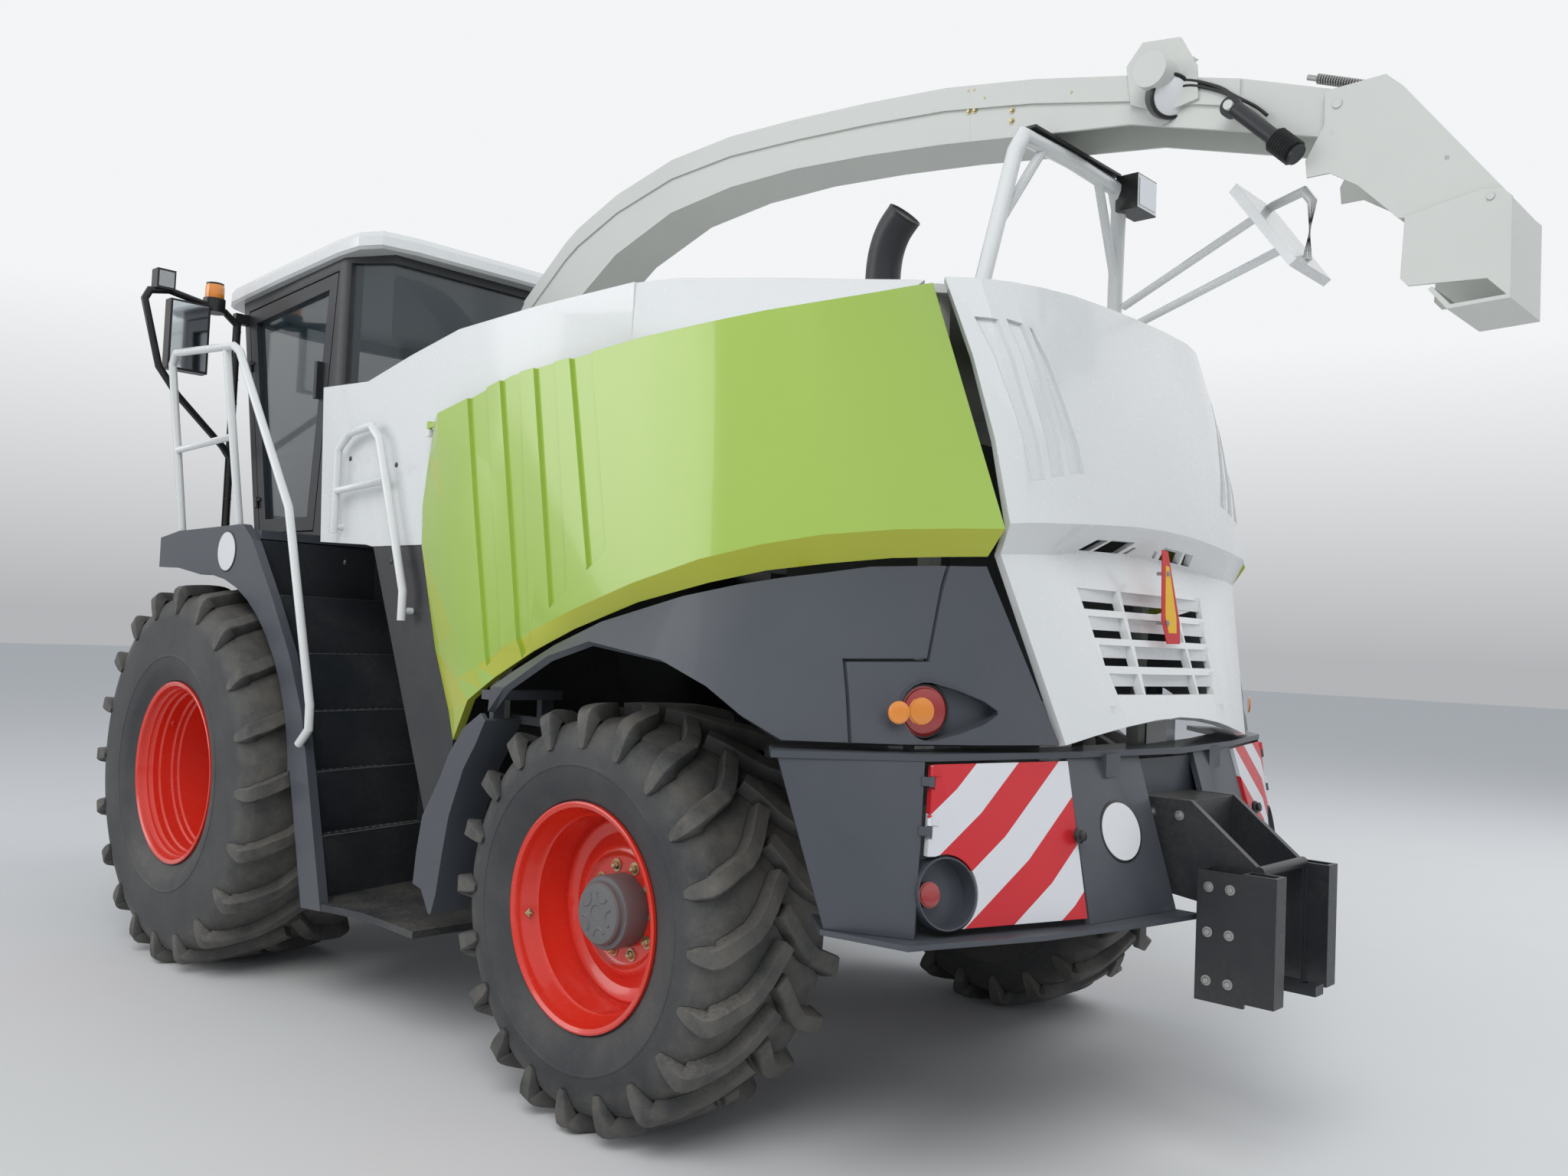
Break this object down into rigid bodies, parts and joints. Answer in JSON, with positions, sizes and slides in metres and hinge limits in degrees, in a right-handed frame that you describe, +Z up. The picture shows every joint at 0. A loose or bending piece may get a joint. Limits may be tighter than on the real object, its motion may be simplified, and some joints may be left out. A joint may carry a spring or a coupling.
{
  "type": "forage harvester",
  "caption": "Self-propelled forage harvester with a cab, a slewing and lifting discharge chute, steered rear wheels and opening side panels.",
  "frame": {"origin": "on the ground, in the middle of the whole machine's length and width", "axes": "+Z up, -Y towards the front (the crop intake), +X towards the machine's left side, where the cab door and the stair are"},
  "size_m": [3.304, 7.268, 3.932],
  "materials": {
    "tyre": "matte rubber",
    "wheel_red": "semi-gloss paint",
    "chassis_grey": "satin paint",
    "roll_steel": "worn steel",
    "chute_grey": "weathered paint",
    "dark_metal": "satin paint",
    "cab_black": "satin paint",
    "white_paint": "gloss paint",
    "clear_glass": "clear",
    "seat_black": "woven",
    "green_paint": "gloss paint",
    "anthracite": "satin paint",
    "deck_grey": "satin paint",
    "stripe_red": "reflective foil"
  },
  "bodies": {
    "machine": {"chassis_frame": "chassis_grey", "cross_members": "chassis_grey", "front_axle": "chassis_grey", "rear_axle": "chassis_grey", "engine_block": "chassis_grey", "intake_housing": "chassis_grey", "crop_channel": "chassis_grey", "chute_base": "chassis_grey", "cab_bearers": "chassis_grey", "cab_floor": "chassis_grey", "cab_body": "cab_black", "cab_roof": "white_paint", "cab_glass": "clear_glass", "driver_seat": "seat_black", "steering_console": "seat_black", "mirror_left": "dark_metal", "mirror_right": "dark_metal", "platform_left": "dark_metal", "platform_right": "dark_metal", "stair": "dark_metal", "fuel_tank": "dark_metal", "handrails": "white_paint", "wall_panel_left": "white_paint", "wall_panel_right": "white_paint", "rear_fender_left": "anthracite", "rear_fender_right": "anthracite", "rear_hood": "white_paint", "top_deck": "deck_grey", "bumper": "anthracite", "drawbar_hitch": "chassis_grey", "exhaust_pipe": "roll_steel", "light_frame": "white_paint", "rear_mirror": "white_paint"},
    "front_wheel_left": {"front_rim_left": "wheel_red", "front_tyre_left": "tyre"},
    "front_wheel_right": {"front_rim_right": "wheel_red", "front_tyre_right": "tyre"},
    "steering_left": {"knuckle_left": "chassis_grey"},
    "steering_right": {"knuckle_right": "chassis_grey"},
    "rear_wheel_left": {"rear_rim_left": "wheel_red", "rear_tyre_left": "tyre"},
    "rear_wheel_right": {"rear_rim_right": "wheel_red", "rear_tyre_right": "tyre"},
    "upper_roll": {"feed_roll_upper": "roll_steel"},
    "lower_roll": {"feed_roll_lower": "roll_steel"},
    "turntable": {"chute_turntable": "chute_grey"},
    "chute": {"chute_boom": "chute_grey", "chute_extension": "chute_grey"},
    "chute_tip": {"chute_end": "chute_grey"},
    "deflector": {"chute_flap": "chute_grey"},
    "tip_cylinder": {"chute_cylinder": "dark_metal"},
    "door": {"cab_door": "cab_black", "door_glass": "clear_glass"},
    "panel_left": {"side_panel_left": "green_paint"},
    "panel_right": {"side_panel_right": "green_paint"},
    "rear_door_left": {"bumper_door_left": "stripe_red"},
    "rear_door_right": {"bumper_door_right": "stripe_red"}
  },
  "joints": [
    {"name": "front_wheel_left_spin", "type": "hinge", "parent": "machine", "child": "front_wheel_left", "pos_m": [1.262, -1.684, 0.897], "axis": [1, 0, 0], "continuous": true},
    {"name": "steer_left", "type": "hinge", "parent": "machine", "child": "steering_left", "pos_m": [0.96, 1.216, 0.705], "axis": [0, 0, 1], "range_deg": [-35, 35]},
    {"name": "rear_wheel_left_spin", "type": "hinge", "parent": "steering_left", "child": "rear_wheel_left", "pos_m": [1.19, 1.216, 0.705], "axis": [1, 0, 0], "continuous": true},
    {"name": "side_panel_left_hinge", "type": "hinge", "parent": "machine", "child": "panel_left", "pos_m": [1.385, 0.041, 2], "axis": [0, 0, -1], "range_deg": [0, 75]},
    {"name": "rear_door_left_hinge", "type": "hinge", "parent": "machine", "child": "rear_door_left", "pos_m": [1.222, 2.453, 0.85], "axis": [0.1753, 0.1005, -0.9794], "range_deg": [0, 95]},
    {"name": "front_wheel_right_spin", "type": "hinge", "parent": "machine", "child": "front_wheel_right", "pos_m": [-1.262, -1.684, 0.897], "axis": [1, 0, 0], "continuous": true},
    {"name": "steer_right", "type": "hinge", "parent": "machine", "child": "steering_right", "pos_m": [-0.96, 1.216, 0.705], "axis": [0, 0, 1], "range_deg": [-35, 35]},
    {"name": "rear_wheel_right_spin", "type": "hinge", "parent": "steering_right", "child": "rear_wheel_right", "pos_m": [-1.19, 1.216, 0.705], "axis": [1, 0, 0], "continuous": true},
    {"name": "side_panel_right_hinge", "type": "hinge", "parent": "machine", "child": "panel_right", "pos_m": [-1.385, 0.041, 2], "axis": [0, 0, 1], "range_deg": [0, 75]},
    {"name": "rear_door_right_hinge", "type": "hinge", "parent": "machine", "child": "rear_door_right", "pos_m": [-1.222, 2.453, 0.85], "axis": [0.1753, -0.1005, 0.9794], "range_deg": [0, 95]},
    {"name": "upper_roll_spin", "type": "hinge", "parent": "machine", "child": "upper_roll", "pos_m": [0, -3.374, 0.96], "axis": [1, 0, 0], "continuous": true},
    {"name": "lower_roll_spin", "type": "hinge", "parent": "machine", "child": "lower_roll", "pos_m": [0, -3.374, 0.62], "axis": [1, 0, 0], "continuous": true},
    {"name": "chute_slew", "type": "hinge", "parent": "machine", "child": "turntable", "pos_m": [0, -1.044, 2.858], "axis": [0, 0, 1], "range_deg": [-100, 100]},
    {"name": "chute_lift", "type": "hinge", "parent": "turntable", "child": "chute", "pos_m": [0, -1.264, 3.01], "axis": [1, 0, 0], "range_deg": [0, 28]},
    {"name": "chute_tip_hinge", "type": "hinge", "parent": "chute", "child": "chute_tip", "pos_m": [0, 3.136, 3.385], "axis": [1, 0, 0], "range_deg": [-10, 35]},
    {"name": "deflector_hinge", "type": "hinge", "parent": "chute_tip", "child": "deflector", "pos_m": [0, 3.578, 2.999], "axis": [1, 0, 0], "range_deg": [-10, 35]},
    {"name": "tip_cylinder_hinge", "type": "hinge", "parent": "chute", "child": "tip_cylinder", "pos_m": [0, 2.812, 3.44], "axis": [1, 0, 0], "range_deg": [-8, 8]},
    {"name": "cab_door_hinge", "type": "hinge", "parent": "machine", "child": "door", "pos_m": [0.86, -2.591, 2.27], "axis": [0, 0.2149, -0.9766], "range_deg": [0, 75]}
  ],
  "couplings": [
    {"joint": "steer_right", "follows": "steer_left", "ratio": 1},
    {"joint": "lower_roll_spin", "follows": "upper_roll_spin", "ratio": -1},
    {"joint": "deflector_hinge", "follows": "chute_tip_hinge", "ratio": 0.8},
    {"joint": "tip_cylinder_hinge", "follows": "chute_tip_hinge", "ratio": 0.17}
  ]
}
